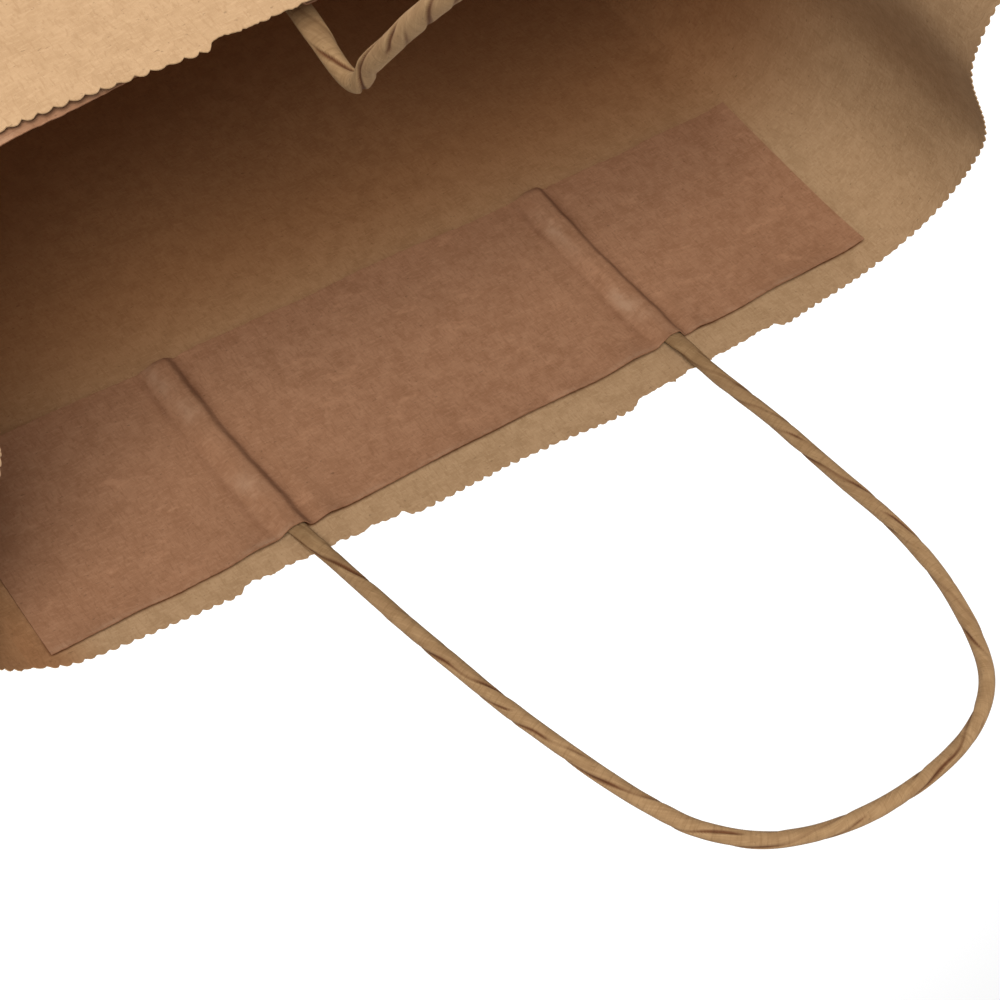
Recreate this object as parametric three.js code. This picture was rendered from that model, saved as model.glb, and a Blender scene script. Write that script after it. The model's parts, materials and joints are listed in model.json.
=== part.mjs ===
// A paper carrier bag with twisted-paper handles, standing open: millimetres, +Z up,
// the back wall at +Y, the origin on the underside of the base.
//
// The body is one folded sheet. Its panels are split at their creases, because each crease is a hinge:
// the side gussets fold inwards, the long flaps of the base fold upwards between the walls,
// and the front wall comes to rest near the back one.
// Each handle is a rope whose two legs are glued between the plies of a patch on the inside of a long wall.

import * as THREE from "three";

// Bag
const WIDTH = 203;
const DEPTH = 127;
const HEIGHT = 254;
const PAPER = 0.3;
const GAP = 0.3;
const SKIRT = 0.6; // height above the ground of what moves over the ends of the base

// Creases
const HINGE_INSET = 1.7; // from the middle of a long wall's sheet to the hinge line of its gusset
const CREASE_GAP = 1.4; // left free on each side of a middle crease
const SLANT_GAP = 2.5; // between a slanting end of a base flap and the end triangle beside it, along X
const BASE_CREASE_Y = -3; // the base's middle crease lies a little in front of the origin

// Rim
const RECESS_LENGTH = 41;
const RECESS_DEPTH = 2.3;
const RECESS_CORNER = 3;

// Handle patch
const PATCH_LENGTH = 198;
const PATCH_HEIGHT = 50;
const PATCH_BELOW_RIM = 7.7;
const LEG_X = 46.25;
const LEG_WIDTH = 4;
const LEG_THICKNESS = 2.2;
const LEG_BOTTOM_MARGIN = 2;

// Handle loop
const ROPE_DIAMETER = 3.4;
const ROPE_SIDES = 8;
const ROPE_STEPS = 44;
const HANDLE_AXIS_ABOVE_RIM = 3.5;
const LEG_TOP_BELOW_AXIS = 2.2;
const FRONT_HANDLE_LEAN = 55; // degrees outwards from upright
// The rope's middle line in the plane of its wall, seen from outside the front wall: x, height above the rim.
const HANDLE_ROUTE = [
  [-45.6, 4.5],
  [-41.1, 19.4],
  [-36.2, 44],
  [-30.3, 66.1],
  [-21.5, 83.7],
  [-12.5, 92.3],
  [1.1, 98.3],
  [18, 98.5],
  [32.4, 95.4],
  [42.8, 90.7],
  [49.4, 81.7],
  [54, 68.5],
  [55.4, 52.4],
  [55.2, 37.8],
  [52.2, 19.6],
  [47.6, 4.5],
];

// Layers of a long wall, as distances from the middle of its sheet towards the inside of the bag
const BACKING_FROM = PAPER / 2 + GAP;
const COVER_FROM = BACKING_FROM + PAPER + GAP;
const ROPE_CENTRE = COVER_FROM + LEG_THICKNESS / 2;

const GUSSET_HALF = DEPTH / 2 - HINGE_INSET;
const PATCH_TOP = HEIGHT - PATCH_BELOW_RIM;
const HANDLE_AXIS_Z = HEIGHT + HANDLE_AXIS_ABOVE_RIM;

const kraft = new THREE.MeshStandardMaterial({ color: 0xb18a5c, roughness: 0.9, metalness: 0 });
const patchPaper = new THREE.MeshStandardMaterial({ color: 0x9a7350, roughness: 0.92, metalness: 0 });
const ropePaper = new THREE.MeshStandardMaterial({ color: 0xb58f5c, roughness: 0.85, metalness: 0 });

function named(name, geometry, material) {
  const mesh = new THREE.Mesh(geometry, material);
  mesh.name = name;
  return mesh;
}

function polygon(points) {
  return new THREE.Shape(points.map(([x, y]) => new THREE.Vector2(x, y)));
}

function extruded(shape, depth, curveSegments = 12) {
  return new THREE.ExtrudeGeometry(shape, { depth, bevelEnabled: false, curveSegments });
}

// Stands a sheet drawn in x and z upright, its middle in the plane y = 0.
function uprightSheet(shape) {
  const geometry = extruded(shape, PAPER);
  geometry.rotateX(Math.PI / 2);
  geometry.translate(0, PAPER / 2, 0);
  return geometry;
}

// The rim steps down in a long shallow recess around each rope leg.
function longWallShape(bottom) {
  const side = WIDTH / 2 - PAPER - GAP / 2;
  const recess = (centre) => [
    [centre + RECESS_LENGTH / 2, HEIGHT],
    [centre + RECESS_LENGTH / 2 - RECESS_CORNER, HEIGHT - RECESS_DEPTH],
    [centre - RECESS_LENGTH / 2 + RECESS_CORNER, HEIGHT - RECESS_DEPTH],
    [centre - RECESS_LENGTH / 2, HEIGHT],
  ];
  return polygon([
    [-side, bottom],
    [side, bottom],
    [side, HEIGHT],
    ...recess(LEG_X),
    ...recess(-LEG_X),
    [-side, HEIGHT],
  ]);
}

// Half a gusset, drawn with its hinge line at x = 0 and its middle crease at x = GUSSET_HALF.
function gussetHalfShape() {
  const free = GUSSET_HALF - CREASE_GAP;
  return polygon([
    [0, SKIRT],
    [free, SKIRT],
    [free, HEIGHT],
    [0, HEIGHT],
  ]);
}

// Turns a sheet drawn in x and z into the plane of a gusset: its x runs along sign * Y.
function gussetSheet(shape, sign) {
  const geometry = uprightSheet(shape);
  geometry.rotateZ((sign * Math.PI) / 2);
  return geometry;
}

function gusset(side, sideName) {
  const group = new THREE.Group();
  group.position.x = (side * WIDTH) / 2;
  const rear = named(`gusset_${sideName}_rear`, gussetSheet(gussetHalfShape(), -1), kraft);
  rear.position.y = GUSSET_HALF;
  const front = named(`gusset_${sideName}_front`, gussetSheet(gussetHalfShape(), 1), kraft);
  front.position.y = -GUSSET_HALF;
  group.add(rear, front);
  return group;
}

// One of the two long flaps of the base, from its hinge line at a long wall to the middle crease.
// Its ends slant at 45 degrees, so it can rise between the gussets.
function baseFlap(name, hingeY, creaseY, underside) {
  const inwards = -Math.sign(hingeY);
  const length = Math.abs(creaseY - hingeY) - CREASE_GAP;
  const wide = WIDTH / 2 - PAPER - SLANT_GAP;
  const narrow = wide - length;
  const shape = polygon([
    [-wide, hingeY],
    [wide, hingeY],
    [narrow, hingeY + inwards * length],
    [-narrow, hingeY + inwards * length],
  ]);
  const flap = named(name, extruded(shape, PAPER), kraft);
  flap.position.z = underside;
  return flap;
}

// The triangle that a gusset's foot forms at the end of the base, between the two long flaps.
function baseEnd(name, side) {
  const outer = WIDTH / 2 - PAPER;
  const shape = polygon([
    [side * outer, -GUSSET_HALF],
    [side * outer, GUSSET_HALF],
    [side * (outer - GUSSET_HALF), 0],
  ]);
  return named(name, extruded(shape, PAPER), kraft);
}

// The patch is drawn for the front wall: x along the wall, y into the bag from the middle of its sheet.
function patchBacking() {
  const geometry = new THREE.BoxGeometry(PATCH_LENGTH, PAPER, PATCH_HEIGHT);
  geometry.translate(0, BACKING_FROM + PAPER / 2, PATCH_TOP - PATCH_HEIGHT / 2);
  return geometry;
}

// The cover lies flat on the backing and arches over each rope leg, which makes the two ribs.
function patchCover() {
  const arch = { x: LEG_WIDTH / 2 + 2 * GAP, y: LEG_THICKNESS + 1.5 * GAP };
  const end = PATCH_LENGTH / 2;
  const outer = COVER_FROM + PAPER;
  const shape = new THREE.Shape();
  shape.moveTo(-end, COVER_FROM);
  for (const x of [-LEG_X, LEG_X]) {
    shape.lineTo(x - arch.x, COVER_FROM);
    shape.absellipse(x, COVER_FROM, arch.x, arch.y, Math.PI, 0, true);
  }
  shape.lineTo(end, COVER_FROM);
  shape.lineTo(end, outer);
  for (const x of [LEG_X, -LEG_X]) {
    shape.lineTo(x + arch.x + PAPER, outer);
    shape.absellipse(x, outer, arch.x + PAPER, arch.y, 0, Math.PI, false);
  }
  shape.lineTo(-end, outer);
  const geometry = extruded(shape, PATCH_HEIGHT);
  geometry.translate(0, 0, PATCH_TOP - PATCH_HEIGHT);
  return geometry;
}

// A rope leg is pressed flat between the plies.
function handleLeg(x) {
  const bottom = PATCH_TOP - PATCH_HEIGHT + LEG_BOTTOM_MARGIN;
  const top = HANDLE_AXIS_Z - LEG_TOP_BELOW_AXIS;
  const geometry = new THREE.CylinderGeometry(0.5, 0.5, top - bottom, 16);
  geometry.rotateX(Math.PI / 2);
  geometry.scale(LEG_WIDTH, LEG_THICKNESS, 1);
  geometry.translate(x, ROPE_CENTRE, (top + bottom) / 2);
  return geometry;
}

// The free loop, upright, with its hinge axis at the origin's height.
function handleLoop() {
  const points = HANDLE_ROUTE.map(([x, z]) => new THREE.Vector3(x, 0, z - HANDLE_AXIS_ABOVE_RIM));
  const section = new THREE.Shape();
  section.absarc(0, 0, ROPE_DIAMETER / 2, 0, 2 * Math.PI, false);
  return new THREE.ExtrudeGeometry(section, {
    steps: ROPE_STEPS,
    curveSegments: ROPE_SIDES,
    extrudePath: new THREE.CatmullRomCurve3(points),
  });
}

// A long wall with all that is glued to it, in the place of the front wall.
function longWall(sideName, bottom, lean) {
  const group = new THREE.Group();
  const legs = { left: -LEG_X, right: LEG_X };
  group.add(named(`${sideName}_panel`, uprightSheet(longWallShape(bottom)), kraft));
  group.add(named(`${sideName}_patch_backing`, patchBacking(), patchPaper));
  group.add(named(`${sideName}_patch_cover`, patchCover(), patchPaper));
  for (const [legName, x] of Object.entries(legs)) {
    group.add(named(`${sideName}_handle_leg_${legName}`, handleLeg(x), ropePaper));
  }
  const loop = named(`${sideName}_handle_loop`, handleLoop(), ropePaper);
  loop.position.set(0, ROPE_CENTRE, HANDLE_AXIS_Z);
  loop.rotation.x = THREE.MathUtils.degToRad(lean);
  group.add(loop);
  group.position.y = -DEPTH / 2;
  return group;
}

// The strip that closes the sheet into a tube, glued to the inside of the front wall along its left edge.
function seamFlap() {
  const width = 14;
  const bottom = SKIRT + GAP;
  const height = HEIGHT - RECESS_DEPTH - PATCH_HEIGHT - PATCH_BELOW_RIM - bottom;
  const geometry = new THREE.BoxGeometry(width, PAPER, height);
  const inner = WIDTH / 2 - 2 * PAPER - GAP - width / 2;
  geometry.translate(-inner, -DEPTH / 2 + BACKING_FROM + PAPER / 2, bottom + height / 2);
  return geometry;
}

const bag = new THREE.Group();
const back = new THREE.Group();
back.rotation.z = Math.PI;
back.add(longWall("back", 0, 0));
bag.add(back);
bag.add(longWall("front", SKIRT, FRONT_HANDLE_LEAN));
bag.add(gusset(-1, "left"));
bag.add(gusset(1, "right"));
bag.add(baseFlap("base_flap_rear", GUSSET_HALF, BASE_CREASE_Y, 0));
bag.add(baseFlap("base_flap_front", -GUSSET_HALF, BASE_CREASE_Y, SKIRT));
bag.add(baseEnd("base_end_left", -1));
bag.add(baseEnd("base_end_right", 1));
bag.add(named("seam_flap", seamFlap(), kraft));

export default bag;
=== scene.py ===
import json
import math

import bmesh
import bpy
import numpy as np
from mathutils import Matrix, Vector


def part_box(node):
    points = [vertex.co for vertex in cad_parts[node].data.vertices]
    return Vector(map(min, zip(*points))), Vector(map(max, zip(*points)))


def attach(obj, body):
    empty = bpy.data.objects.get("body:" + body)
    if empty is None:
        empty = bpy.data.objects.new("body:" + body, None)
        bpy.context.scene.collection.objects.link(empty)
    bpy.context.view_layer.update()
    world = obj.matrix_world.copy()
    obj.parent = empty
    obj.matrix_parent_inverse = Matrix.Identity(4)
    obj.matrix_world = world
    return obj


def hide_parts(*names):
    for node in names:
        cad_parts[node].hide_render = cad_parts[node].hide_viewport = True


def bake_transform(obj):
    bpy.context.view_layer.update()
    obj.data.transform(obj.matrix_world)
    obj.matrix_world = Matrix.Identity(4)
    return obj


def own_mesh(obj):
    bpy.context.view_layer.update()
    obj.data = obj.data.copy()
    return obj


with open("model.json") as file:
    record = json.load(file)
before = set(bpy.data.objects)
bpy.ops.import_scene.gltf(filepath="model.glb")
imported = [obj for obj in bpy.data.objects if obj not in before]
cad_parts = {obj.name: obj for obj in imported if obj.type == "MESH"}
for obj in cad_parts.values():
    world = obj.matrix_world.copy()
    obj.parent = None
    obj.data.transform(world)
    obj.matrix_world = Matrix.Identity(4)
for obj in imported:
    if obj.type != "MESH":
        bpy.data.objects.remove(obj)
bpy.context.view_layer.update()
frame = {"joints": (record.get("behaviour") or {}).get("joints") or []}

# A kraft paper carrier bag standing open, seen into its mouth. Its long walls are at the back (+Y) and at
# the front, its gussets at the left (-X) and at the right. Lengths are in millimetres until a mesh is made.

MM = 0.001


def box_mm(node):
    low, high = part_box(node)
    return np.array(low) / MM, np.array(high) / MM


def joint_mm(name):
    found = [j for j in frame["joints"] if j["name"] == name]
    return np.array(found[0]["pos_m"]) / MM


panel_low, panel_high = box_mm("back_panel")
backing_low, backing_high = box_mm("back_patch_backing")
leg_low, leg_high = box_mm("back_handle_leg_left")

WALL_Y = (panel_low[1] + panel_high[1]) / 2
RIM_Z = panel_high[2]
CORNER_X, CORNER_Y = np.abs(joint_mm("fold")[:2])
GUSSET = CORNER_Y  # the width of a gusset half
PATCH_TOP = backing_high[2]
PATCH_BOTTOM = backing_low[2]
LEG_X = abs(leg_low[0] + leg_high[0]) / 2
ROPE_Y = (leg_low[1] + leg_high[1]) / 2
AXIS_Z = joint_mm("back_handle_bend")[2]

PAPER = 0.2  # how thick a sheet is
PATCH_PAPER = 0.22
FOLD_Z = 63.5  # the crease on which the base folds flat
FINE_LOW, FINE_HIGH = FOLD_Z - 3.5, FOLD_Z + 3.5  # a grid has fine rows round that crease


# ---------------------------------------------------------------- small helpers

def smooth(t):
    t = np.clip(t, 0, 1)
    return t * t * (3 - 2 * t)


def bump(x, centre, width):
    return np.exp(-(((x - centre) / width) ** 2))


def wander(x, seed, wavelength, octaves=3):
    """A smooth random line of about unit size."""
    rng = np.random.default_rng(seed)
    total = np.zeros_like(x, float)
    for n in range(octaves):
        for _ in range(3):
            turn = 2 * math.pi * rng.uniform(0.6, 1.5) * 2**n / wavelength
            total += np.sin(x * turn + rng.uniform(0, 6.3)) * 0.5**n * rng.uniform(0.3, 0.7)
    return total


def ripple(x, z, seed, size):
    """A smooth random surface of about unit size."""
    rng = np.random.default_rng(seed)
    total = np.zeros(np.broadcast(x, z).shape)
    for _ in range(7):
        angle = rng.uniform(0, math.pi)
        k = 2 * math.pi / (size * rng.uniform(0.7, 2.2))
        along = x * math.cos(angle) + z * math.sin(angle)
        total = total + 0.4 * np.sin(k * along + rng.uniform(0, 6.3))
    return total


def steps(*stretches):
    """Numbers that run through each stretch (from, to, step)."""
    parts = []
    for a, b, step in stretches:
        count = max(2, int(round(abs(b - a) / step)) + 1)
        parts.append(np.linspace(a, b, count)[:-1])
    last = stretches[-1][1]
    return np.concatenate([*parts, [last]])


def texture_place(along, up, start):
    """Texture coordinates in millimetres. Each piece starts at its own place in the endless pattern."""
    return np.stack([along + start, up], -1)


# ---------------------------------------------------------------- materials

class Nodes:
    """A new material and short ways to add nodes to it."""

    def __init__(self, name):
        self.material = bpy.data.materials.new(name)
        self.material.use_nodes = True
        self.tree = self.material.node_tree
        self.shader = self.tree.nodes["Principled BSDF"]
        self.uv = self.tree.nodes.new("ShaderNodeTexCoord").outputs["UV"]

    def link(self, source, socket):
        self.tree.links.new(source, socket)

    def mapped(self, scale, angle=0.0, shift=(0.0, 0.0, 0.0)):
        node = self.tree.nodes.new("ShaderNodeMapping")
        node.inputs["Rotation"].default_value = (0, 0, angle)
        node.inputs["Scale"].default_value = (scale[0], scale[1], 1)
        node.inputs["Location"].default_value = shift
        self.link(self.uv, node.inputs["Vector"])
        return node.outputs["Vector"]

    def field(self, name):
        """A number stored at the mesh's vertices, 0 where the mesh has none."""
        node = self.tree.nodes.new("ShaderNodeAttribute")
        node.attribute_name = name
        return node.outputs["Fac"]

    def noise(self, vector, scale, detail=2.0, roughness=0.5, distortion=0.0):
        node = self.tree.nodes.new("ShaderNodeTexNoise")
        node.inputs["Scale"].default_value = scale
        node.inputs["Detail"].default_value = detail
        node.inputs["Roughness"].default_value = roughness
        node.inputs["Distortion"].default_value = distortion
        self.link(vector, node.inputs["Vector"])
        return node.outputs["Fac"]

    def ramp(self, value, low, high, out_low=0.0, out_high=1.0):
        node = self.tree.nodes.new("ShaderNodeMapRange")
        node.interpolation_type = "SMOOTHSTEP"
        node.inputs["From Min"].default_value = low
        node.inputs["From Max"].default_value = high
        node.inputs["To Min"].default_value = out_low
        node.inputs["To Max"].default_value = out_high
        self.link(value, node.inputs["Value"])
        return node.outputs["Result"]

    def mix(self, factor, a, b, kind="MIX"):
        node = self.tree.nodes.new("ShaderNodeMix")
        node.data_type = "RGBA"
        node.blend_type = kind
        for name, value in (("Factor", factor), ("A", a), ("B", b)):
            socket = node.inputs[name]
            if isinstance(value, bpy.types.NodeSocket):
                self.link(value, socket)
            else:
                socket.default_value = (*value, 1)
        return node.outputs["Result"]

    def add(self, a, b, weight=1.0):
        """a + weight * b."""
        node = self.tree.nodes.new("ShaderNodeMath")
        node.operation = "MULTIPLY_ADD"
        self.link(b, node.inputs[0])
        node.inputs[1].default_value = weight
        self.link(a, node.inputs[2])
        return node.outputs[0]

    def bumped(self, height, distance, strength):
        node = self.tree.nodes.new("ShaderNodeBump")
        node.inputs["Distance"].default_value = distance
        node.inputs["Strength"].default_value = strength
        self.link(height, node.inputs["Height"])
        self.link(node.outputs["Normal"], self.shader.inputs["Normal"])


PAINTED_SHADE = (0.34, 0.19, 0.10)  # painted shade: what folds, dark gaps and shaded corners multiply the colour by
DEPTH_SHADE = (0.95, 0.72, 0.56)  # painted shade for light that has bounced about in the bag
RUBBED_AND_LIT = (1.18, 1.5, 1.75)  # rubbed fibres and painted highlights: paler, less yellow than light


def scaled(colour, by):
    return [min(1, c * factor) for c, factor in zip(colour, by)]


def paper(name, colour, dark, light, fibre=(2000, 520), cloud=0.6, wear=0.0, relief=0.5):
    """Uncoated paper: clouds, crossing fibres and flecks, and where the mesh says so rubbed fibres, painted
    highlights and painted shade.

    fibre is how fine the pattern is across and along a fibre, cloud how strong the clouds are, wear how much
    the whole sheet is rubbed, and relief how far the clouds stand out of the surface.
    """
    n = Nodes(name)
    clouds = n.noise(n.mapped((1, 1)), scale=230, detail=5.0, roughness=0.68)
    large = n.noise(n.mapped((1, 0.6), 0.2, (3.1, 1.7, 0)), scale=24)
    across, along = fibre
    strands = {"scale": 1, "detail": 3.0, "roughness": 0.6, "distortion": 0.6}
    fibres = n.noise(n.mapped((along, across), 0.15), **strands)
    crossing = n.noise(n.mapped((across, along), 0.5, (7, 2, 0)), **strands)
    flecks = n.noise(n.mapped((900, 2400), 0.9), scale=1, detail=1.0, distortion=0.4)

    now = n.mix(n.ramp(clouds, 0.34, 0.66, 0.5 - cloud / 2, 0.5 + cloud / 2), dark, light)
    now = n.mix(n.ramp(large, 0.3, 0.7, 0.15, 0.55), now, colour)
    now = n.mix(n.ramp(fibres, 0.46, 0.70, 0.0, 0.60), now, light)
    now = n.mix(n.ramp(crossing, 0.48, 0.70, 0.0, 0.60), now, dark)
    now = n.mix(n.ramp(flecks, 0.70, 0.76, 0.0, 0.5), now, scaled(dark, (0.5, 0.5, 0.5)))
    if wear:
        worn = n.noise(n.mapped((1, 2.2), 0.6, (5, 5, 0)), scale=90, detail=5.0, roughness=0.7)
        now = n.mix(n.ramp(worn, 0.56, 0.72, 0.0, wear), now, scaled(light, (1.3, 1.3, 1.3)))
    # rubbed fibres, and painted highlights on the ribs' lit side
    rub_and_highlight = n.mix(n.ramp(clouds, 0.38, 0.60, 0.35, 1.0), (0, 0, 0), n.field("rub_and_highlight"))
    now = n.mix(rub_and_highlight, now, scaled(light, RUBBED_AND_LIT))
    # painted shade, darkening folds, creases, gaps and the shaded corner
    now = n.mix(n.field("shade"), now, PAINTED_SHADE, "MULTIPLY")
    # painted shade down in the bag, browner as for light bounced off other paper
    now = n.mix(n.field("depth"), now, DEPTH_SHADE, "MULTIPLY")
    n.link(now, n.shader.inputs["Base Color"])
    n.shader.inputs["Roughness"].default_value = 0.82
    n.shader.inputs["Specular IOR Level"].default_value = 0.25
    height = n.add(n.add(fibres, crossing), clouds, relief)
    n.bumped(height, distance=0.1 * MM, strength=0.45)
    return n.material


def kraft():
    return paper("kraft", (0.332, 0.204, 0.103), (0.27, 0.158, 0.075), (0.405, 0.258, 0.138), relief=0.9)


def kraft_outside():
    return paper("kraft_outside", (0.335, 0.208, 0.106), (0.28, 0.165, 0.080), (0.40, 0.256, 0.138),
                 cloud=0.5, relief=0.3)


def patch_paper():
    return paper("patch_paper", (0.276, 0.132, 0.065), (0.220, 0.100, 0.047), (0.345, 0.180, 0.098),
                 wear=0.4, relief=1.2)


def rope_paper():
    return paper("rope_paper", (0.238, 0.137, 0.060), (0.184, 0.100, 0.040), (0.312, 0.193, 0.092),
                 fibre=(2600, 180), relief=0.8)


KRAFT = kraft()
KRAFT_OUT = kraft_outside()
PATCH = patch_paper()
ROPE = rope_paper()


# ---------------------------------------------------------------- meshes

def normals_of(points):
    du = np.gradient(points, axis=0)
    dv = np.gradient(points, axis=1)
    n = np.cross(du, dv)
    return n / np.maximum(np.linalg.norm(n, axis=2, keepdims=True), 1e-9)


def mesh_object(name, vertices, faces, uvs, materials, face_material):
    mesh = bpy.data.meshes.new(name)
    mesh.from_pydata((vertices * MM).tolist(), [], faces.tolist())
    layer = mesh.uv_layers.new(name="UVMap")
    corner_vertex = np.empty(len(mesh.loops), np.int32)
    mesh.loops.foreach_get("vertex_index", corner_vertex)
    layer.data.foreach_set("uv", (uvs[corner_vertex] * MM).astype(np.float32).ravel())
    for material in materials:
        mesh.materials.append(material)
    mesh.polygons.foreach_set("material_index", np.asarray(face_material, np.int32))
    mesh.polygons.foreach_set("use_smooth", np.ones(len(mesh.polygons), bool))
    mesh.update()
    obj = bpy.data.objects.new(name, mesh)
    bpy.context.scene.collection.objects.link(obj)
    return obj


def store(obj, name, values):
    """Numbers at the vertices for the paper: rub_and_highlight for rubbed ridges and painted highlights,
    shade for painted shade in folds and gaps, depth for painted shade inside the bag.
    """
    attribute = obj.data.attributes.new(name, "FLOAT", "POINT")
    attribute.data.foreach_set("value", np.asarray(values, np.float32).ravel())


def grid_faces(nu, nv, start=0, flip=False):
    i, j = np.meshgrid(np.arange(nu - 1), np.arange(nv - 1), indexing="ij")
    a = start + i * nv + j
    b = a + nv
    quads = np.stack([a, b, b + 1, a + 1], -1).reshape(-1, 4)
    return quads[:, ::-1] if flip else quads


def rim_of_grid(nu, nv):
    """The grid's outermost points, once round."""
    rim = [(i, 0) for i in range(nu)]
    rim += [(nu - 1, j) for j in range(1, nv)]
    rim += [(i, nv - 1) for i in range(nu - 2, -1, -1)]
    rim += [(0, j) for j in range(nv - 2, 0, -1)]
    return np.array(rim).T


def sheet(name, points, uv, materials, body, stands_for, inside, outside=None, turn_over=False,
          thickness=PAPER, edge_shade=0.0):
    """A thin sheet round a grid of points on its middle surface.

    The grid's normal points into the bag, or away from it with turn_over, and the first material is on the
    side that faces into the bag. inside and outside hold the two sides' grids of shade, rub_and_highlight and
    depth, by name: painted shade, rubbing with painted highlights, and painted shade down in the bag. A sheet
    of one material has the same on both sides. edge_shade paints shade on the sheet's edges.
    """
    outside = outside or {}
    if turn_over:
        points, uv = points[::-1], uv[::-1]
        inside = {field: grid[::-1] for field, grid in inside.items()}
        outside = {field: grid[::-1] for field, grid in outside.items()}
    if len(materials) == 1:
        outside = inside
    nu, nv = points.shape[:2]
    count = nu * nv
    half = normals_of(points) * thickness / 2
    sides = [points + half, points - half]
    rim = tuple(rim_of_grid(nu, nv))
    edge_count = len(rim[0])
    band = np.stack([side[rim] for side in sides], 1)
    band_uv = np.stack([uv[rim], uv[rim] + thickness], 1)
    vertices = np.concatenate([part.reshape(-1, 3) for part in (*sides, band)])
    uvs = np.concatenate([part.reshape(-1, 2) for part in (uv, uv, band_uv)])

    front = grid_faces(nu, nv)
    back = grid_faces(nu, nv, start=count, flip=True)
    here = 2 * count + 2 * np.arange(edge_count)
    following = np.roll(here, -1)
    edge = np.stack([following, here, here + 1, following + 1], -1)
    material = np.repeat([0, len(materials) - 1, 0], [len(front), len(back), len(edge)])
    obj = mesh_object(name, vertices, np.concatenate([front, back, edge]), uvs, materials, material)

    nothing = np.zeros(count)
    for field in ("shade", "rub_and_highlight", "depth"):
        inner = inside.get(field, nothing).ravel()
        outer = outside.get(field, nothing).ravel()
        edges = np.full(2 * edge_count, edge_shade if field == "shade" else 0.0)
        store(obj, field, np.concatenate([inner, outer, edges]))
    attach(obj, body)
    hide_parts(*stands_for)
    return obj


def turned(points, side):
    """Made for the back wall; the front wall is the same turned half round."""
    return points if side == "back" else points * np.array([-1, -1, 1])


# ---------------------------------------------------------------- rim

# Each wall's rim: x along it, and the height of the knife's cut over RIM_Z. The front wall is made as a back
# wall too, and then turned round, so its x runs the other way.
BACK_RIM = [
    (-101.5, -2.7), (-97, -2.2), (-90, -1.7), (-80, -1.0), (-72, -0.2), (-60, 0.2), (-40, 0.7),
    (-27, 1.0), (-20, 0.6), (-12, -0.2), (0, -0.8), (22, -0.6), (34, -1.0), (50, -1.7), (61, -2.4),
    (76, -3.7), (93, -5.1), (97, -5.7), (101.5, -8.2),
]
FRONT_RIM = [(-101.5, -10.5), (-60, -4.5), (0, -1.4), (60, -1.0), (101.5, -0.6)]
# The stretches where the cut steps down round the rope's legs, and how far.
RECESSES = {"back": [(22.9, 61.8), (-71.2, -29.2)], "front": [(26, 66), (-66, -26)]}
RECESS_DEPTH = 1.5

TOOTH = 2.3  # from one scallop of the cut to the next
TOOTH_SIZE = 0.68
LEVEL_Z = 239.0  # a grid's rows are level up to here, and above it they follow the cut
CUT_ROWS = 37


def teeth(s, seed):
    """The scallops left by the knife: round tips, sharp notches, a little unevenness."""
    phase = s / TOOTH + 0.10 * wander(s, seed, 40)
    tip = 1 - np.abs((phase % 1) * 2 - 1) ** 2.2
    size = TOOTH_SIZE * (1 + 0.22 * wander(s, seed + 1, 9))
    return (tip - 0.6) * np.clip(size, 0.3, 1.1)


def torn(s, seed):
    """The rougher line in a recess."""
    return 0.22 * wander(s, seed, 7, 4) + 0.10 * wander(s, seed + 3, 2.3, 2)


def rim_level(x, side):
    """Height of the cut over RIM_Z without its scallops, and how far x is inside a recess."""
    xs, zs = zip(*(BACK_RIM if side == "back" else FRONT_RIM))
    rounding = np.linspace(-3, 3, 9)
    base = np.mean([np.interp(x + d, xs, zs) for d in rounding], axis=0)
    inside = np.zeros_like(x)
    for low, high in RECESSES[side]:
        inside += smooth((x - low) / 2.6) * smooth((high - x) / 2.6)
    return base - RECESS_DEPTH * inside, inside


def rows(level, detail, foot):
    """Heights of a sheet's grid, whose foot has its own stretches: fine at the creases and near the cut."""
    heights = steps(*foot, (FINE_HIGH, 190, 7.3), (190, LEVEL_Z, 3.0))
    fixed = np.repeat(heights[None, :], len(level), 0)
    share = np.linspace(0, 1, CUT_ROWS + 1)[None, 1:]
    cut = detail[:, None] * smooth((share - 0.8) / 0.2)
    upper = LEVEL_Z + share * (RIM_Z + level[:, None] - LEVEL_Z) + cut
    return np.concatenate([fixed, upper], axis=1)


# ---------------------------------------------------------------- the patches' shape

PATCH_X = {"back": (-100.0, 97.2), "front": (-98.5, 98.5)}
PATCH_SEED = {"back": 51, "front": 52}
CLEAR = 0.26  # the least height of a patch's middle surface over the wall, so that the two don't touch
LEGS = ((-LEG_X, -0.6), (LEG_X, -1.2))  # where a rope leg is, and how far it drifts at the mouth edge


def mouth_edge(x, side):
    """Height of the patch's edge nearest the mouth."""
    seed = PATCH_SEED[side]
    return PATCH_TOP - 0.7 + 0.22 * wander(x, seed, 90) + 0.04 * wander(x, seed + 5, 3)


def rib(away):
    """Profile of the patch over a rope leg: steep on the side towards -X, easy on the other."""
    return np.where(away < 0, 1 - smooth((-away - 0.9) / 2.6), 1 - smooth((away - 0.9) / 3.6))


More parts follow.
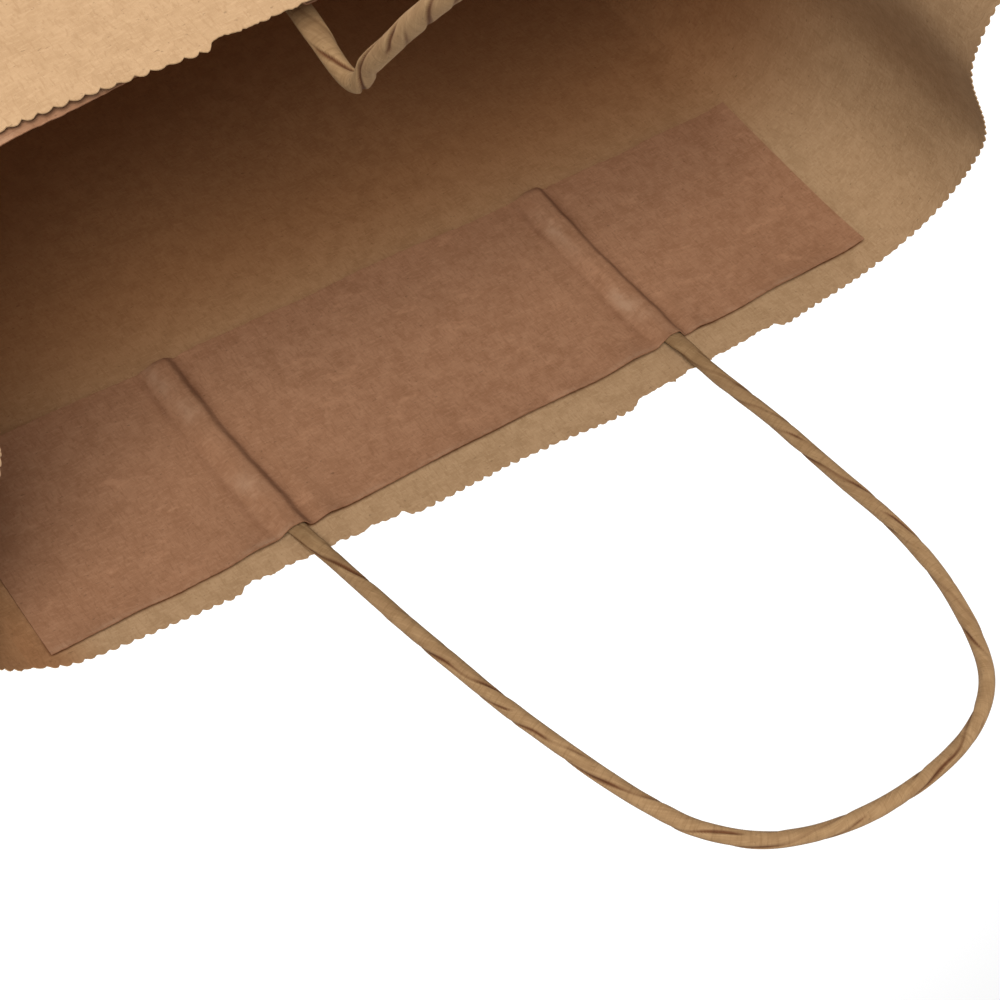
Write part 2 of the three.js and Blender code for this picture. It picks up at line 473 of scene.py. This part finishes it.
def patch_lift(x, z, side):
    """Height of the patch's middle surface over the inside of the wall."""
    low = PATCH_X[side][0]
    below_top = PATCH_TOP - z
    above_bottom = z - PATCH_BOTTOM
    near_top = np.exp(-below_top / 5.0)
    lift = 0.45 + near_top * (0.8 + 0.4 * wander(x, 31, 60))
    lift = lift + 0.25 * np.exp(-above_bottom / 4.0) * (0.6 + 0.5 * wander(x, 33, 45))
    # pressed down near its ends, where a folded gusset lies on it
    lift = lift * (1 - 0.5 * smooth((np.abs(x) - 86) / 10))
    # its corner at the low end of x has come loose
    lift = lift + 0.7 * bump(x, low, 9) * np.exp(-below_top / 9)
    for leg, drift in LEGS:
        fade = smooth((above_bottom + 2.5) / 4)
        centre = leg + 0.3 * wander(z, 35, 40) + drift * np.exp(-below_top / 8)
        away = x - centre
        height = 1.75 + 0.75 * np.exp(-below_top / 4)
        groove = 0.45 * bump(away, -4.6, 1.6) + 0.22 * bump(away, 6.6, 2.4)
        lift = lift + fade * (height * rib(away) - groove)
        # the mouth edge gapes on both sides of the rope
        lift = lift + near_top * (1.1 * bump(away, -7.0, 3.2) + 0.9 * bump(away, 9.5, 5.0))
    return np.maximum(lift, CLEAR)


# ---------------------------------------------------------------- walls

WALL_FOOT = [(0.15, 2.2, 0.3), (2.2, FINE_LOW, 7.2), (FINE_LOW, FINE_HIGH, 0.35)]
WALL_STEP = 0.44  # a finer grid would pass the 200,000 triangles above which the export thins a mesh out
# the numbers below paint the corner's shade: how much darker near the rim, and how much painted depth shade
SHADED_X = 86.0  # from here to the corner at +X the mouth lies in the bag's own shade
CORNER_DARK = 0.40
CORNER_DEPTH_SHADE = 0.75


def wall_offset(x, z, side):
    """How far the sheet stands outside the wall's plane."""
    across = 1 - (x / CORNER_X) ** 2
    belly = 2.2 * across * bump(z, 105, 70)
    if side == "front":
        # its mouth bows out
        belly = belly + 8.5 * across**1.3 * smooth((z - 90) / 160)
    # at both ends it turns in to the corner's crease, more gently towards the rim
    turn = 2.2 + 20 * smooth((z - 150) / 100)
    corner = (WALL_Y - CORNER_Y) * np.clip((np.abs(x) - CORNER_X + turn) / turn, 0, 1) ** 3
    # it waves between its creases, and less behind the patch, which stiffens it
    free = np.clip(across * 3, 0, 1) * smooth(z / 30)
    below_patch = smooth((PATCH_BOTTOM - 6 - z) / 40)
    seed = 11 if side == "back" else 47
    waves = ripple(x, z, seed, 70) * (0.25 + 0.75 * below_patch) * free
    waves = waves * (0.5 + 0.5 * smooth((z - 40) / 160))
    crease = 0.35 * bump(z, FOLD_Z, 0.9) * across
    # the foot turns in to the crease that the base hangs on
    foot = (WALL_Y - CORNER_Y - 0.1) * np.clip(1 - z / 2.0, 0, 1) ** 2 * np.clip(across * 20, 0, 1)
    return belly + waves - corner - crease - foot


def gap_shade(x, z, side):
    """Dark in the gap behind the patch's mouth edge."""
    low, high = PATCH_X[side]
    gap = np.clip(0.85 + 0.35 * wander(x, 37, 50), 0.45, 1.1) + 0.3 * bump(x, low, 16)
    # seen from above the mouth, the edge hides the wall up to here
    hidden = mouth_edge(x, side) - 0.5 * patch_lift(x, PATCH_TOP, side)
    above = z - hidden
    line = gap * np.where(above < 0, 1.0, bump(above, 0, 0.42)) * smooth((above + 6) / 4)
    line = line * smooth((x - low + 1) / 1.5) * smooth((high + 1 - x) / 1.5)
    return np.clip(line, 0, 1)


def near_rim(z):
    """0 down in the bag, and 1 close to the rim."""
    return smooth((z - 228) / 16)


def depth_tint(z):
    """The paper reads browner down in the bag, where light reaches it only from other paper."""
    return smooth((222 - z) / 50)


def worn_fibres(along, z, seed):
    """How much a crease's ridge is rubbed, from place to place."""
    return np.clip(0.6 + 0.5 * ripple(along, z, seed, 12), 0.15, 1)


def wall(side):
    seed = 100 if side == "back" else 200
    x = steps((-CORNER_X, CORNER_X, WALL_STEP))
    level, recessed = rim_level(x, side)
    cut = teeth(x, seed) * (1 - 0.7 * recessed) + recessed * torn(x, seed + 9)
    z = rows(level, cut, WALL_FOOT)
    xx = np.repeat(x[:, None], z.shape[1], 1)
    points = np.stack([xx, WALL_Y + wall_offset(xx, z, side), z], -1)
    uv = texture_place(xx, z, 0 if side == "back" else 300)
    at_corner = smooth((xx - SHADED_X) / 14)
    # painted shadow in the gap behind the patch's edge, painted shade at the +X corner, and painted depth
    # shade
    inside = {
        "shade": np.maximum(gap_shade(xx, z, side), CORNER_DARK * at_corner * near_rim(z)),
        "depth": np.maximum(depth_tint(z), CORNER_DEPTH_SHADE * at_corner),
    }
    at_fold = 0.5 * bump(z, FOLD_Z + 0.5, 0.5)
    ridges = 0.6 * bump(np.abs(xx), CORNER_X, 1.0) + at_fold + 0.5 * bump(z, 0.6, 0.8)
    # rubbed ridges, and painted shade just under the fold's crease
    outside = {
        "rub_and_highlight": worn_fibres(xx, z, seed + 12) * np.clip(ridges, 0, 1),
        "shade": 0.5 * bump(z, FOLD_Z - 0.5, 0.5),
    }
    sheet(f"{side}_wall_sheet", turned(points, side), uv, [KRAFT, KRAFT_OUT], f"{side}_wall",
          [f"{side}_panel"], inside, outside)


# ---------------------------------------------------------------- gussets

GUSSET_FOOT = [(0.85, FINE_HIGH, 0.75)]
GUSSET_STEP = 0.4
FLARE_Z = 62.0  # from here up a gusset swells out between its creases
FLARE = {("left", "rear"): 15.4, ("left", "front"): 9.0, ("right", "rear"): 11.0, ("right", "front"): 8.0}
MIDDLE_RIM = {"left": 1.0, "right": -8.5}  # height of the cut over RIM_Z at the middle crease
GUSSET_SEED = {"left": 300, "right": 320}


def flare(s, z, side, half):
    """How far a gusset half stands outside its plane, s away from the corner's crease: most at the rim."""
    mouth = smooth((z - FLARE_Z) / (RIM_Z - FLARE_Z)) ** 1.3
    rise = 1 - np.exp(-s / 6.2)
    fall = 1 - smooth((s - 26) / (GUSSET - 26))
    return FLARE[side, half] * rise * fall * mouth


def gusset_rows(s, side, half, seed):
    """The grid's heights: the cut runs from the wall's corner to the middle crease."""
    sign = -1 if side == "left" else 1
    corner_x = sign * CORNER_X if half == "rear" else -sign * CORNER_X
    corner = rim_level(np.array([corner_x]), "back" if half == "rear" else "front")[0]
    level = corner + (MIDDLE_RIM[side] - corner) * smooth(s / 34)
    out = flare(s, RIM_Z, side, half)
    along = np.concatenate([[0], np.cumsum(np.hypot(np.diff(s), np.diff(out)))])
    return rows(level, teeth(along + 1, seed) * smooth(along / 1.2), GUSSET_FOOT)


def gusset(side, half):
    """Half of a gusset, from its corner's crease to the middle crease."""
    sign = -1 if side == "left" else 1
    body = f"gusset_{side}_{half}"
    seed = GUSSET_SEED[side] + (0 if half == "rear" else 7)
    s = steps((0, GUSSET, GUSSET_STEP))
    z = gusset_rows(s, side, half, seed)
    ss = np.repeat(s[:, None], z.shape[1], 1)
    free = smooth(ss / 8) * smooth((GUSSET - ss) / 8)
    waves = 0.5 * ripple(ss, z, seed, 50) * free * smooth(z / 40)
    # the crease that runs up from the bag's corner, on which the gusset's foot folds flat
    slant = bump((ss - z) / math.sqrt(2), 0, 0.7)
    crease = 0.35 * slant * (ss < GUSSET) * smooth(ss / 3)
    x = sign * (CORNER_X + flare(ss, z, side, half) + waves - crease)
    y = (CORNER_Y - ss) * (1 if half == "rear" else -1)
    points = np.stack([x, y, z], -1)
    pieces = np.linalg.norm(np.diff(points, axis=0), axis=2)
    length = np.concatenate([np.zeros((1, z.shape[1])), np.cumsum(pieces, 0)])
    uv = texture_place(length, z, 700 + seed)
    shaded = side == "right"
    # the right gusset lies in shade: painted shade near its rim, and painted depth shade
    inside = {
        "shade": 0.4 * CORNER_DARK * shaded * near_rim(z),
        "depth": np.maximum(depth_tint(z), CORNER_DEPTH_SHADE * shaded),
    }
    ridges = 0.6 * bump(ss, 0, 1.0) + 0.4 * slant + 0.4 * bump(z, FOLD_Z + 0.7, 0.7)
    # painted shade in the middle crease's valley and beside the other creases
    shade_below_creases = 0.35 * bump(ss - z, 1.4, 0.8) + 0.35 * bump(z, FOLD_Z - 0.7, 0.7)
    valley_shade = 0.5 * bump(ss, GUSSET, 0.8) + shade_below_creases
    outside = {"rub_and_highlight": worn_fibres(ss, z, seed + 12) * np.clip(ridges, 0, 1), "shade": valley_shade}
    obj = sheet(f"{body}_sheet", points, uv, [KRAFT, KRAFT_OUT], body, [body], inside, outside,
                turn_over=(side == "left") == (half == "rear"))
    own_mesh(obj)


# ---------------------------------------------------------------- base

FLAP_Z = 0.12  # the flaps' middle surface, close to the floor
END_Z = 0.7  # the end triangles', over the flaps


def base_flap(half):
    """A long flap of the base, from its long wall to the middle, lying under the end triangles."""
    sign = 1 if half == "rear" else -1
    middle = (box_mm("base_flap_rear")[0][1] + box_mm("base_flap_front")[1][1]) / 2
    end = middle - 0.4 if half == "rear" else middle  # the rear flap's end lies over the front flap's
    t = np.linspace(0, 1, 60)
    u = np.linspace(-1, 1, 120)
    start = sign * (CORNER_Y + 0.6)  # under the wall's foot
    y = start + (end - start) * t
    wide = CORNER_X - 2.6 - np.abs(y - start)
    xx = u[:, None] * wide[None, :]
    yy = np.repeat(y[None, :], len(u), 0)
    seed = 61 if half == "rear" else 62
    z = FLAP_Z + 0.12 * smooth(t)[None, :] * (0.5 + 0.5 * ripple(xx, yy, seed, 80))
    if half == "rear":
        z = z + (PAPER + 0.04) * smooth(6 * t - 5)[None, :]
    points = np.stack([xx, yy, np.maximum(z, PAPER / 2)], -1)
    from_side = (1 - np.abs(u[:, None])) * wide[None, :]
    # painted shadow along the end triangle's edge, and painted depth shade all over
    inside = {"shade": 0.6 * bump(from_side, 1.6, 1.2), "depth": np.ones_like(xx)}
    sheet(f"base_flap_{half}_sheet", points, texture_place(xx, yy, 1500), [KRAFT, KRAFT_OUT],
          f"base_flap_{half}", [f"base_flap_{half}"], inside, turn_over=half == "rear")


def base_end(side):
    """The triangle that the gusset's foot makes at the end of the base."""
    sign = -1 if side == "left" else 1
    t = steps((0, 0.06, 0.006), (0.06, 1.13, 0.025))
    u = np.linspace(-1, 1, 60)
    x = sign * (CORNER_X + 0.1 - t * (GUSSET - 1))
    xx = np.repeat(x[None, :], len(u), 0)
    # at the gusset it keeps to the corners, and from there on it reaches under the walls' feet
    widest = GUSSET + 0.05 + 0.85 * smooth((t * GUSSET - 0.3) / 1.2)
    yy = u[:, None] * np.clip(GUSSET + 3.6 - t * (GUSSET - 2), 3.9, widest)[None, :]
    points = np.stack([xx, yy, np.full_like(xx, END_Z)], -1)
    # painted depth shade all over
    obj = sheet(f"base_end_{side}_sheet", points, texture_place(xx, yy, 1900), [KRAFT, KRAFT_OUT],
                "back_wall", [f"base_end_{side}"], {"depth": np.ones_like(xx)}, turn_over=side == "left")
    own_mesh(obj)


def seam():
    """The glued flap inside the front wall."""
    low, high = box_mm("seam_flap")
    x = steps((low[0], high[0], 1.0))
    z = steps((low[2], high[2], 2.0))
    xx, zz = np.meshgrid(x, z, indexing="ij")
    distance = WALL_Y + wall_offset(-xx, zz, "front") - PAPER - 0.12
    points = np.stack([xx, -distance, zz], -1)
    sheet("seam_flap_sheet", points, texture_place(xx, zz, 2100), [KRAFT], "front_wall", ["seam_flap"],
          {"depth": depth_tint(zz)}, turn_over=True)


# ---------------------------------------------------------------- patches

def rib_marks(x, z, side):
    """Painted shade in the fold lines beside the rope's legs, and the fibres rubbed along them, with
    painted highlights on the ribs' lit side towards +X.
    """
    seed = PATCH_SEED[side]
    shade, rub_and_highlight = np.zeros_like(z), np.zeros_like(z)
    for leg, drift in LEGS:
        away = x - leg - drift * np.exp((z - PATCH_TOP) / 8)
        strength = 0.75 + 0.35 * wander(z, seed + 39, 30)
        worn = np.clip(0.55 + 0.6 * ripple(x, z, seed + 43, 9), 0.1, 1)
        shade = shade + strength * (0.36 * bump(away, -2.8, 1.5) + 0.26 * bump(away, 5.0, 0.9))
        bands = 0.42 * bump(away, 2.4, 1.3) + 0.15 * bump(away, 0.0, 1.6)
        rub_and_highlight = rub_and_highlight + np.clip(strength, 0.2, 1) * worn * bands
    return shade, rub_and_highlight


def patch(side):
    """The paper patch glued over the rope's legs."""
    low, high = PATCH_X[side]
    seed = PATCH_SEED[side]
    x = steps((low, high, 0.4))
    share = steps((0, 0.06, 0.01), (0.06, 0.9, 0.02), (0.9, 1.0, 0.01))
    top = mouth_edge(x, side)
    bottom = PATCH_BOTTOM + 0.5 * wander(x, seed + 2, 110) + 0.08 * wander(x, seed + 6, 4)
    z = bottom[:, None] + share[None, :] * (top - bottom)[:, None]
    # its ends are cut a little askew
    askew = 0.02 * (z - PATCH_TOP)
    xx = x[:, None] + askew * smooth((np.abs(x[:, None]) - 80) / 20)
    y = WALL_Y + wall_offset(xx, z, side) - PAPER / 2 - patch_lift(xx, z, side)
    y = y - 0.08 * ripple(xx, z, seed, 14)
    points = np.stack([xx, y, z], -1)
    shade, rub_and_highlight = rib_marks(xx, z, side)
    # the mouth edge is rubbed here and there
    rub_and_highlight = rub_and_highlight + 0.35 * bump(z, PATCH_TOP - 1.2, 0.5) * (0.5 + 0.5 * wander(xx, seed + 8, 25))
    inside = {"shade": np.clip(shade, 0, 1), "rub_and_highlight": np.clip(rub_and_highlight, 0, 1), "depth": 0.8 * depth_tint(z + 12)}
    # edge_shade paints shade on its cut edges
    sheet(f"{side}_handle_patch", turned(points, side), texture_place(xx, z, 400 + seed * 10), [PATCH],
          f"{side}_wall", [f"{side}_patch_backing", f"{side}_patch_cover"], inside, turn_over=True,
          thickness=PATCH_PAPER, edge_shade=0.5)


# ---------------------------------------------------------------- handles

# The free loop, from the leg at +X to the other: x, and the height over RIM_Z.
LOOP = [
    (44.9, -7.0), (44.0, -2.0), (42.6, 6.1), (40.3, 18.8), (37.9, 31.1), (35.2, 43.4), (32.3, 54.4),
    (28.9, 64.9), (25.3, 74.5), (21.0, 82.9), (12.0, 91.0), (-2.1, 95.9), (-18.3, 97.3), (-32.7, 95.1),
    (-42.8, 89.5), (-48.8, 80.8), (-52.7, 67.8), (-54.2, 52.0), (-52.8, 38.0), (-50.4, 19.9), (-47.9, 5.1),
    (-46.9, -7.0),
]
FOOT = PATCH_BOTTOM + 3 - RIM_Z
LEG = [(46.3, FOOT), (46.3, FOOT + 12), (46.1, FOOT + 26)]
OTHER_LEG = [(-46.5, FOOT + 26), (-46.3, FOOT + 12), (-46.3, FOOT)]

ROPE_R = 1.56
LAY = 34.0  # the length of one turn of the twist
PRESSED_Y = WALL_Y - 0.98  # a leg's middle under the patch
ALONG, AROUND = 680, 60  # points along a rope and round it


def smooth_path(points, count):
    """A Catmull-Rom curve through the points, rounded off a little, at even distances."""
    points = np.asarray(points, float)
    before = 2 * points[0] - points[1]
    after = 2 * points[-1] - points[-2]
    p = np.array([before, *points, after])
    t = np.linspace(0, 1, 40, endpoint=False)[:, None]
    line = []
    for a, b, c, d in zip(p, p[1:], p[2:], p[3:]):
        square = (2 * a - 5 * b + 4 * c - d) * t**2
        cube = (3 * b - a - 3 * c + d) * t**3
        line.append(0.5 * (2 * b + (c - a) * t + square + cube))
    line = np.concatenate([*line, points[-1:]])
    for _ in range(60):
        line[1:-1] = 0.25 * line[:-2] + 0.5 * line[1:-1] + 0.25 * line[2:]
    gone = np.concatenate([[0], np.cumsum(np.linalg.norm(np.diff(line, axis=0), axis=1))])
    at = np.linspace(0, gone[-1], count)
    return np.stack([np.interp(at, gone, line[:, i]) for i in range(2)], 1), at


def groove(angle, depth, width):
    """A crease in the twisted paper: sharp on one side, easy on the other."""
    away = (angle + math.pi) % (2 * math.pi) - math.pi
    return depth * np.where(away < 0, bump(away, 0, width), bump(away, 0, width * 3.2))


def twist_profile(angle, at, seed):
    """The rope's radius round it, where 1 is smooth: three creases that come and go along it."""
    strong = np.clip(0.85 + 0.65 * wander(at, seed + 3, 45), 0.35, 1.4)
    other = np.clip(0.55 + 0.75 * wander(at, seed + 4, 38), 0, 1.3)
    third = np.clip(0.1 + 0.85 * wander(at, seed + 5, 30), 0, 1.1)
    drift = 2.3 + 0.2 * wander(at, seed + 6, 30)
    profile = 1 - strong * groove(angle, 0.26, 0.12)
    profile = profile - other * groove(angle - drift, 0.20, 0.11)
    profile = profile - third * groove(angle - 4.2, 0.16, 0.08)
    return profile + 0.02 * np.cos(2 * angle + 1) + 0.01 * np.cos(3 * angle)


def leaned(y, up, share, lean):
    """Turned outwards about the line where the legs leave the wall, by a share of the lean in degrees."""
    out = y - ROPE_Y
    angle = share * math.radians(lean)
    y = ROPE_Y + out * np.cos(angle) + up * np.sin(angle)
    z = AXIS_Z + up * np.cos(angle) - out * np.sin(angle)
    return y, z


def weld(obj):
    """Joins the two columns of points where the grid closes round the rope."""
    bm = bmesh.new()
    bm.from_mesh(obj.data)
    bmesh.ops.remove_doubles(bm, verts=bm.verts, dist=1e-6)
    bm.to_mesh(obj.data)
    bm.free()


def rope(side, lean):
    """One rope: a leg pressed flat under the patch, the free loop, and the other leg."""
    seed = 71 if side == "back" else 75
    line, at = smooth_path([*LEG, *LOOP, *OTHER_LEG], ALONG)
    height = line[:, 1] + RIM_Z
    tangent = np.gradient(line, axis=0)
    tangent /= np.linalg.norm(tangent, axis=1, keepdims=True)
    in_plane = np.stack([-tangent[:, 1], tangent[:, 0]], 1)

    # the patch flattens the legs, and the wall takes them in
    flat = 1 - smooth((height - (PATCH_TOP - 3)) / 13)
    pressed = 1 - smooth((height - (PATCH_TOP - 12)) / 10)
    free = smooth((height - (PATCH_TOP - 5)) / 9)
    half_wide = ROPE_R * (1 + 0.26 * flat + 0.025 * wander(at, seed, 40, 2))
    half_thick = ROPE_R * (1 - 0.32 * flat - 0.22 * pressed + 0.02 * wander(at, seed + 1, 40, 2))

    theta = np.linspace(0, 2 * math.pi, AROUND + 1)[:, None]  # the last column lies on the first
    angle = theta - 2 * math.pi * at / LAY - 0.5 * wander(at, seed + 2, 50)
    profile = twist_profile(angle, at, seed)
    a = np.cos(theta) * half_wide * profile
    b = np.sin(theta) * half_thick * profile
    x = line[:, 0] + in_plane[:, 0] * a
    up = height - AXIS_Z + in_plane[:, 1] * a
    sway = 0.5 * wander(at, seed + 7, 120) * smooth((height - AXIS_Z) / 40)
    y = PRESSED_Y + (ROPE_Y - PRESSED_Y) * free + sway + b
    bend_from = PATCH_TOP + 1
    share = smooth((height - bend_from) / (2 * (AXIS_Z - bend_from)))
    points = turned(np.stack([x, *leaned(y, up, share, lean)], -1), side)

    around = np.repeat(at[None, :], AROUND + 1, 0)
    uv = texture_place(around, angle * ROPE_R, 2500 + seed * 20)
    faces = grid_faces(AROUND + 1, ALONG, flip=True)
    obj = mesh_object(f"{side}_handle_rope", points.reshape(-1, 3), faces, uv.reshape(-1, 2), [ROPE],
                      np.zeros(len(faces)))
    # painted shade in the twist's creases
    store(obj, "shade", np.clip((1.0 - profile) / 0.15, 0, 1) ** 1.3)
    weld(obj)
    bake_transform(obj)
    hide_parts(f"{side}_handle_loop", f"{side}_handle_leg_left", f"{side}_handle_leg_right")


# ---------------------------------------------------------------- floor, light, camera

CAMERA_PLACE = (180.76, -266.87, 439.17)
CAMERA_HEADING = -27.6669  # degrees from +Y towards +X
CAMERA_TILT = -25.7469  # degrees over the horizon
CAMERA_ROLL = 139.4078  # from upright: the handle points down in the photo


def floor_paint():
    material = bpy.data.materials.new("floor")
    material.use_nodes = True
    shader = material.node_tree.nodes["Principled BSDF"]
    shader.inputs["Base Color"].default_value = (0.92, 0.92, 0.92, 1)
    shader.inputs["Roughness"].default_value = 0.9
    shader.inputs["Emission Color"].default_value = (1, 1, 1, 1)
    shader.inputs["Emission Strength"].default_value = 0.3
    return material


def floor():
    mesh = bpy.data.meshes.new("floor")
    reach = 30.0  # metres
    corners = [(-reach, -reach, 0), (reach, -reach, 0), (reach, reach, 0), (-reach, reach, 0)]
    mesh.from_pydata(corners, [], [(0, 1, 2, 3)])
    mesh.materials.append(floor_paint())
    obj = bpy.data.objects.new("floor", mesh)
    bpy.context.scene.collection.objects.link(obj)


def sky():
    world = bpy.data.worlds.new("studio")
    world.use_nodes = True
    background = world.node_tree.nodes["Background"]
    background.inputs["Color"].default_value = (1, 1, 1, 1)
    background.inputs["Strength"].default_value = 0.6
    bpy.context.scene.world = world


def area_light(name, where, size, power, towards):
    """A soft round lamp: places and its size in metres, its power in watts."""
    data = bpy.data.lights.new(name, "AREA")
    data.shape = "DISK"
    data.size = size
    data.energy = power
    obj = bpy.data.objects.new(name, data)
    obj.location = where
    obj.rotation_euler = (Vector(towards) - Vector(where)).to_track_quat("-Z", "Y").to_euler()
    bpy.context.scene.collection.objects.link(obj)


def camera():
    data = bpy.data.cameras.new("camera")
    data.lens = 77.11
    data.sensor_width = 36
    data.clip_start = 0.01
    data.clip_end = 100
    heading, tilt, roll = (math.radians(angle) for angle in (CAMERA_HEADING, CAMERA_TILT, CAMERA_ROLL))
    ahead = Vector((math.sin(heading) * math.cos(tilt), math.cos(heading) * math.cos(tilt), math.sin(tilt)))
    level = ahead.to_track_quat("-Z", "Y").to_matrix().to_4x4()
    place = Matrix.Translation(Vector(CAMERA_PLACE) * MM)
    obj = bpy.data.objects.new("camera", data)
    obj.matrix_world = place @ level @ Matrix.Rotation(roll, 4, "Z")
    bpy.context.scene.collection.objects.link(obj)
    bpy.context.scene.camera = obj


# ---------------------------------------------------------------- the whole

for side in ("left", "right"):
    for half in ("rear", "front"):
        gusset(side, half)
for half in ("rear", "front"):
    base_flap(half)
for side in ("left", "right"):
    base_end(side)
seam()
for side in ("back", "front"):
    wall(side)
    patch(side)
rope("back", lean=0)
rope("front", lean=55)

floor()
sky()
area_light("key", (0.95, -2.05, 1.25), size=1.3, power=62, towards=(0, 0, 0.24))
area_light("top", (-0.1, 0.3, 2.8), size=1.2, power=20, towards=(0, 0, 0))
bpy.context.scene.view_settings.view_transform = "Standard"
camera()
